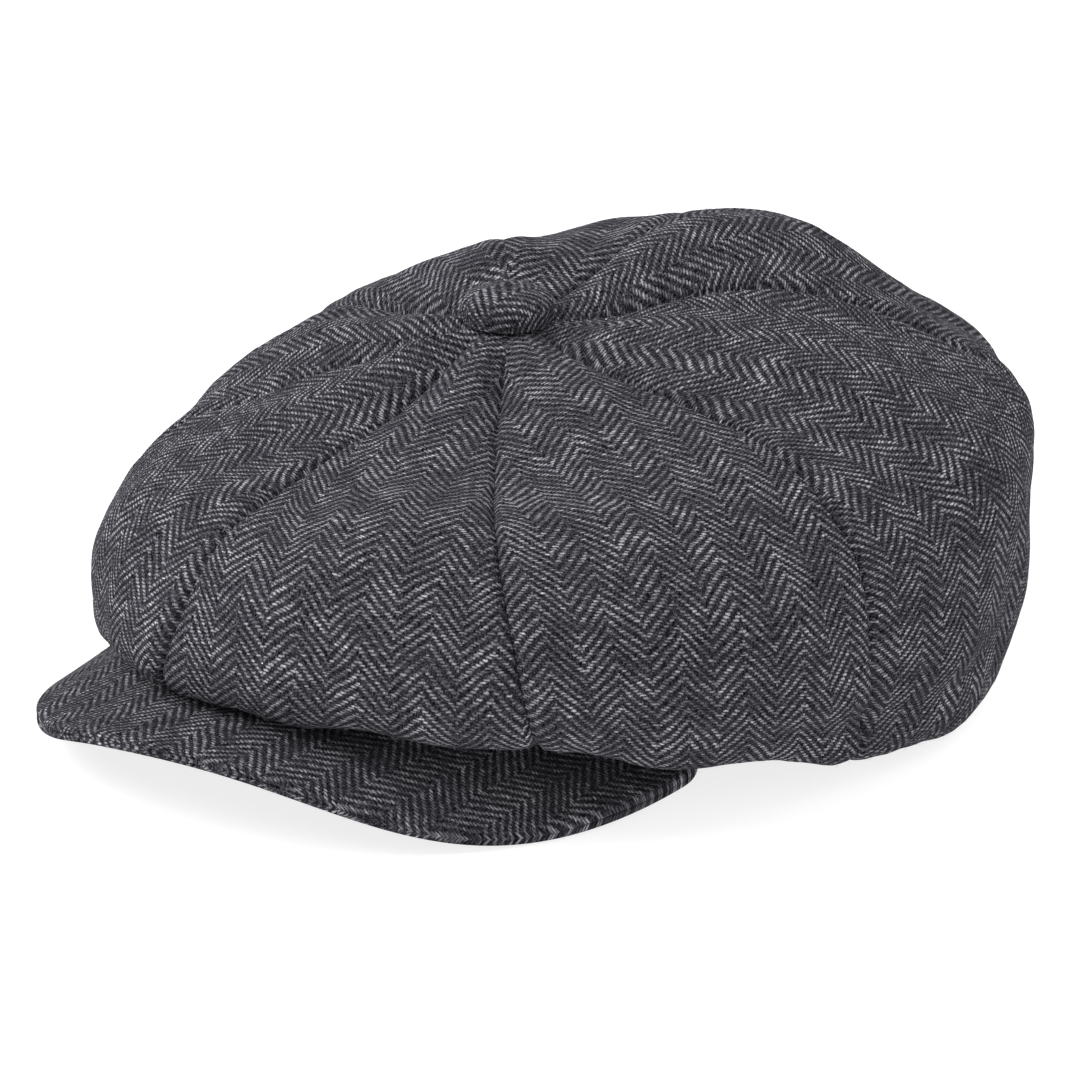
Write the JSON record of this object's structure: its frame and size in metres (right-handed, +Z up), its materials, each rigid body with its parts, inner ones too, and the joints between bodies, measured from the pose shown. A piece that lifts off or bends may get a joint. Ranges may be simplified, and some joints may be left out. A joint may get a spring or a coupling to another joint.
{
  "type": "newsboy cap",
  "caption": "Soft round wool tweed cap with wedge panels meeting at a covered button, a head band with sweatband and lining, and a short stiff cloth-covered visor.",
  "frame": {"origin": "middle of the cap's footprint box, on the table that it stands on", "axes": "+Z up, -Y along the visor away from the head, +X to the wearer's left"},
  "size_m": [0.2368, 0.2995, 0.1263],
  "materials": {
    "tweed": "woven wool herringbone tweed, charcoal and pale grey, slightly hairy",
    "lining": "smooth dark satin lining",
    "sweatband": "dark woven grosgrain band",
    "interlining": "pressed woven stiffener",
    "board": "flexible moulded visor board",
    "button_metal": "stamped button shell and washer"
  },
  "bodies": {
    "root": {"crown_panel_front_left": "tweed", "crown_panel_side_left_front": "tweed", "crown_panel_side_left_back": "tweed", "crown_panel_back_left": "tweed", "crown_panel_back_right": "tweed", "crown_panel_side_right_back": "tweed", "crown_panel_side_right_front": "tweed", "crown_panel_front_right": "tweed", "lining_gore_front_left": "lining", "lining_gore_side_left_front": "lining", "lining_gore_side_left_back": "lining", "lining_gore_back_left": "lining", "lining_gore_back_right": "lining", "lining_gore_side_right_back": "lining", "lining_gore_side_right_front": "lining", "lining_gore_front_right": "lining", "outer_band": "tweed", "band_stiffener": "interlining", "sweatband": "sweatband", "visor_top_cover": "tweed", "visor_under_cover": "tweed", "visor_board": "board", "button_cover": "tweed", "button_core": "button_metal", "button_shank": "button_metal"}
  },
  "joints": []
}
